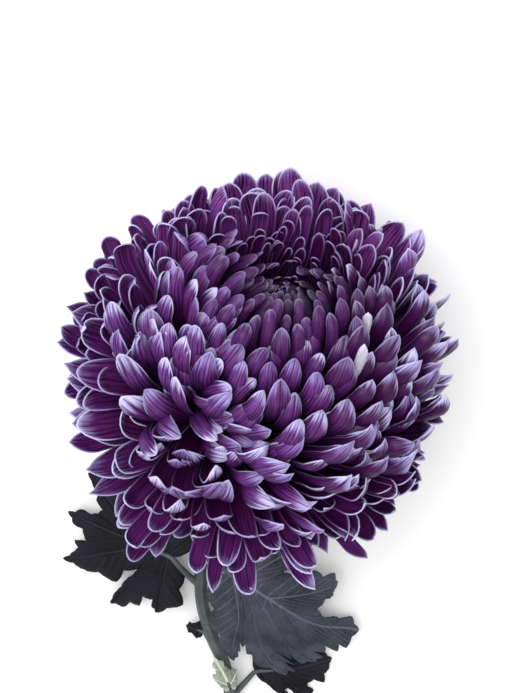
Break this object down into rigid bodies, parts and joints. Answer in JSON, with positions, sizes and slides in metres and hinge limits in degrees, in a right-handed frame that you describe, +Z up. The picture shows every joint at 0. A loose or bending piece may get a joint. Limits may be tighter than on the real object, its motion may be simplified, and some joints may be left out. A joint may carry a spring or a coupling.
{
  "type": "cut chrysanthemum flower",
  "caption": "Large ball-shaped chrysanthemum bloom on a curved cut stem with lobed leaves, lying on a surface.",
  "frame": {"origin": "middle of the cut flower's footprint, on the surface it lies on", "axes": "+Z up from the surface, +Y from the stem's cut end towards the bloom, +X to the bloom's right"},
  "size_m": [0.1502, 0.2565, 0.1214],
  "materials": {
    "petals": "satin petals, dark violet with pale lilac rims and backs",
    "calyx": "matte green bracts",
    "stem": "matte grey-green, ribbed and downy",
    "leaf_dark": "matte, very dark slate green",
    "leaf_grey": "satin, dark slate with paler veins",
    "leaf_pale": "matte, pale grey-green"
  },
  "bodies": {
    "root": {"bloom": "petals", "calyx": "calyx", "stem": "stem", "leaf_left": "leaf_dark", "leaf_right": "leaf_grey", "leaf_lower": "leaf_dark", "leaf_young": "leaf_pale", "leaf_small": "leaf_dark"}
  },
  "joints": []
}
